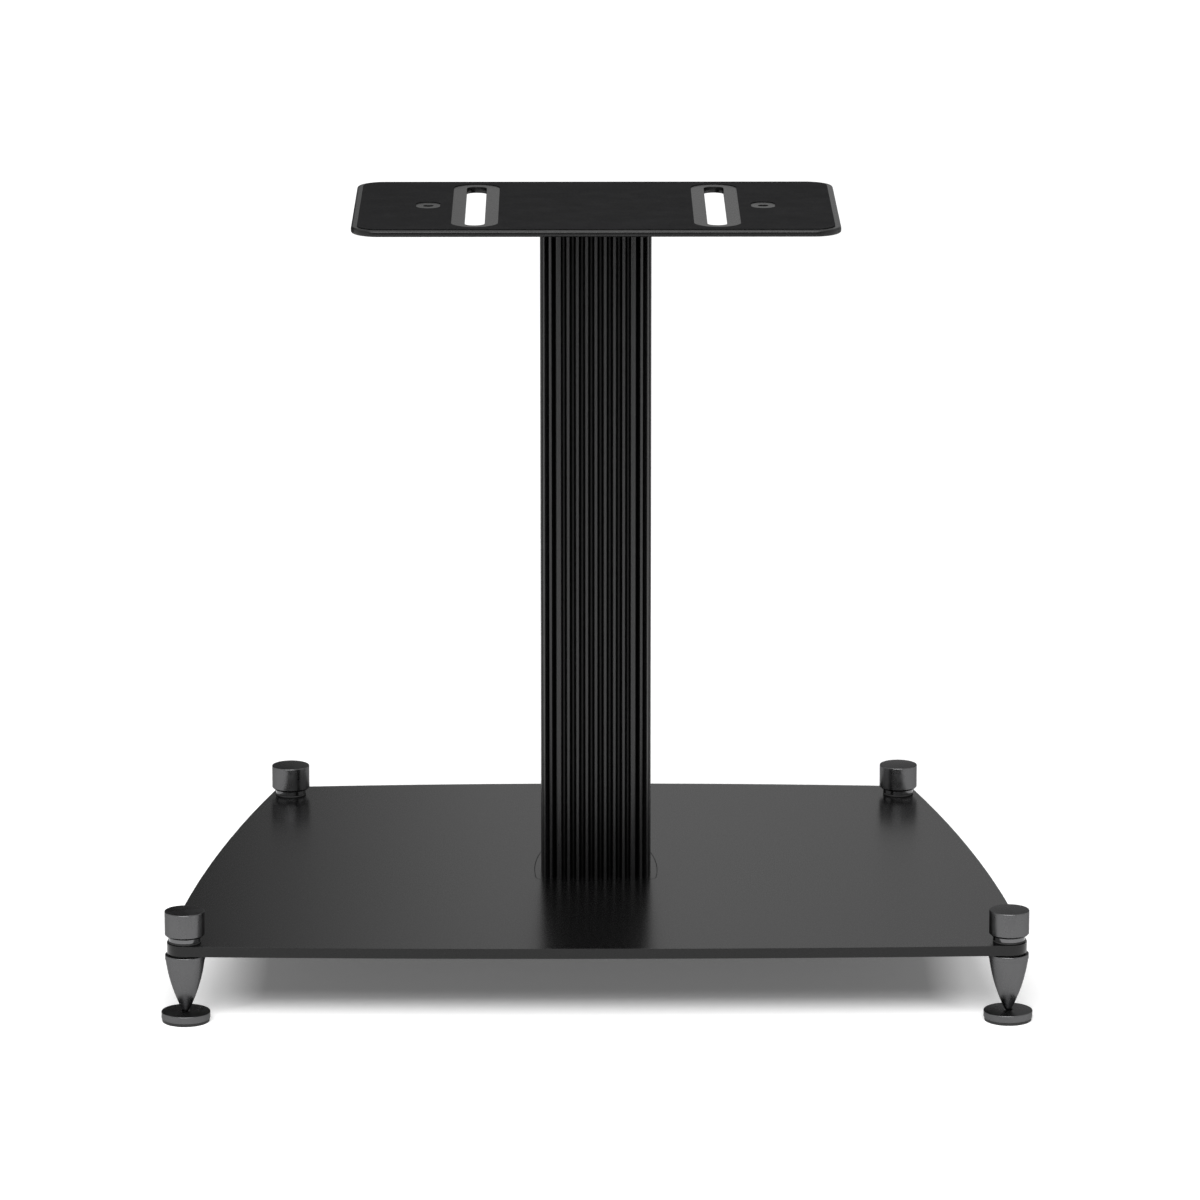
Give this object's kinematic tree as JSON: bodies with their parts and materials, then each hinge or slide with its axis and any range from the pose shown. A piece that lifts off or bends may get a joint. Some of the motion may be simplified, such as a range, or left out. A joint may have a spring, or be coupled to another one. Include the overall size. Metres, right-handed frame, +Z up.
{
  "type": "speaker stand",
  "caption": "Low speaker stand: padded top plate with slots, fluted column, bowed heavy base plate and levelling spikes on floor discs.",
  "frame": {"origin": "on the floor, under the middle of the column and of the whole stand", "axes": "+X to the right seen from the front, +Y to the rear, +Z up"},
  "size_m": [0.533, 0.389, 0.4739],
  "materials": {
    "pad": "black, matt, very fine grain",
    "plate_steel": "dark grey satin coat with a fine grain, brighter where the edges catch light",
    "block_black": "black, satin",
    "column_black": "black, satin, extruded",
    "base_black": "black, smooth satin coat",
    "foot_metal": "dark nickel, turned, satin",
    "collar_metal": "polished, turned",
    "washer_black": "black, matt",
    "sole_black": "black, matt",
    "screw_steel": "zinc-plated steel"
  },
  "bodies": {
    "root": {"top_pad": "pad", "top_plate": "plate_steel", "top_screws": "screw_steel", "top_block": "block_black", "column": "column_black", "seat_plate": "base_black", "base_plate": "base_black", "base_screws": "screw_steel", "base_screw_washers": "screw_steel", "front_left_upper_washer": "washer_black", "front_right_upper_washer": "washer_black", "rear_left_upper_washer": "washer_black", "rear_right_upper_washer": "washer_black"},
    "front_left_disc": {"front_left_disc": "foot_metal", "front_left_sole": "sole_black"},
    "front_left_spike": {"front_left_spike": "foot_metal", "front_left_stud": "screw_steel", "front_left_lower_washer": "washer_black"},
    "front_left_collar": {"front_left_collar": "collar_metal"},
    "front_left_cap": {"front_left_cap": "foot_metal"},
    "front_right_disc": {"front_right_disc": "foot_metal", "front_right_sole": "sole_black"},
    "front_right_spike": {"front_right_spike": "foot_metal", "front_right_stud": "screw_steel", "front_right_lower_washer": "washer_black"},
    "front_right_collar": {"front_right_collar": "collar_metal"},
    "front_right_cap": {"front_right_cap": "foot_metal"},
    "rear_left_disc": {"rear_left_disc": "foot_metal", "rear_left_sole": "sole_black"},
    "rear_left_spike": {"rear_left_spike": "foot_metal", "rear_left_stud": "screw_steel", "rear_left_lower_washer": "washer_black"},
    "rear_left_collar": {"rear_left_collar": "collar_metal"},
    "rear_left_cap": {"rear_left_cap": "foot_metal"},
    "rear_right_disc": {"rear_right_disc": "foot_metal", "rear_right_sole": "sole_black"},
    "rear_right_spike": {"rear_right_spike": "foot_metal", "rear_right_stud": "screw_steel", "rear_right_lower_washer": "washer_black"},
    "rear_right_collar": {"rear_right_collar": "collar_metal"},
    "rear_right_cap": {"rear_right_cap": "foot_metal"}
  },
  "joints": [
    {"name": "front_left_foot_travel", "type": "slide", "parent": "root", "child": "front_left_disc", "axis": [0, 0, -1], "range_m": [0, 0.005]},
    {"name": "front_left_spike_turn", "type": "hinge", "parent": "front_left_disc", "child": "front_left_spike", "pos_m": [-0.2515, -0.1783, 0.0425], "axis": [0, 0, -1], "range_deg": [0, 1440]},
    {"name": "front_left_cap_lift", "type": "slide", "parent": "root", "child": "front_left_collar", "axis": [0, 0, 1], "range_m": [0, 0.005]},
    {"name": "front_left_cap_turn", "type": "hinge", "parent": "front_left_collar", "child": "front_left_cap", "pos_m": [-0.2515, -0.1783, 0.054], "axis": [0, 0, 1], "range_deg": [0, 1440]},
    {"name": "front_right_foot_travel", "type": "slide", "parent": "root", "child": "front_right_disc", "axis": [0, 0, -1], "range_m": [0, 0.005]},
    {"name": "front_right_spike_turn", "type": "hinge", "parent": "front_right_disc", "child": "front_right_spike", "pos_m": [0.2515, -0.1783, 0.0425], "axis": [0, 0, -1], "range_deg": [0, 1440]},
    {"name": "front_right_cap_lift", "type": "slide", "parent": "root", "child": "front_right_collar", "axis": [0, 0, 1], "range_m": [0, 0.005]},
    {"name": "front_right_cap_turn", "type": "hinge", "parent": "front_right_collar", "child": "front_right_cap", "pos_m": [0.2515, -0.1783, 0.054], "axis": [0, 0, 1], "range_deg": [0, 1440]},
    {"name": "rear_left_foot_travel", "type": "slide", "parent": "root", "child": "rear_left_disc", "axis": [0, 0, -1], "range_m": [0, 0.005]},
    {"name": "rear_left_spike_turn", "type": "hinge", "parent": "rear_left_disc", "child": "rear_left_spike", "pos_m": [-0.2, 0.1682, 0.0425], "axis": [0, 0, -1], "range_deg": [0, 1440]},
    {"name": "rear_left_cap_lift", "type": "slide", "parent": "root", "child": "rear_left_collar", "axis": [0, 0, 1], "range_m": [0, 0.005]},
    {"name": "rear_left_cap_turn", "type": "hinge", "parent": "rear_left_collar", "child": "rear_left_cap", "pos_m": [-0.2, 0.1682, 0.054], "axis": [0, 0, 1], "range_deg": [0, 1440]},
    {"name": "rear_right_foot_travel", "type": "slide", "parent": "root", "child": "rear_right_disc", "axis": [0, 0, -1], "range_m": [0, 0.005]},
    {"name": "rear_right_spike_turn", "type": "hinge", "parent": "rear_right_disc", "child": "rear_right_spike", "pos_m": [0.2, 0.1682, 0.0425], "axis": [0, 0, -1], "range_deg": [0, 1440]},
    {"name": "rear_right_cap_lift", "type": "slide", "parent": "root", "child": "rear_right_collar", "axis": [0, 0, 1], "range_m": [0, 0.005]},
    {"name": "rear_right_cap_turn", "type": "hinge", "parent": "rear_right_collar", "child": "rear_right_cap", "pos_m": [0.2, 0.1682, 0.054], "axis": [0, 0, 1], "range_deg": [0, 1440]}
  ],
  "couplings": [
    {"joint": "front_left_spike_turn", "follows": "front_left_foot_travel", "rad_per_m": 5026.5},
    {"joint": "front_left_cap_turn", "follows": "front_left_cap_lift", "rad_per_m": 5026.5},
    {"joint": "front_right_spike_turn", "follows": "front_right_foot_travel", "rad_per_m": 5026.5},
    {"joint": "front_right_cap_turn", "follows": "front_right_cap_lift", "rad_per_m": 5026.5},
    {"joint": "rear_left_spike_turn", "follows": "rear_left_foot_travel", "rad_per_m": 5026.5},
    {"joint": "rear_left_cap_turn", "follows": "rear_left_cap_lift", "rad_per_m": 5026.5},
    {"joint": "rear_right_spike_turn", "follows": "rear_right_foot_travel", "rad_per_m": 5026.5},
    {"joint": "rear_right_cap_turn", "follows": "rear_right_cap_lift", "rad_per_m": 5026.5}
  ]
}
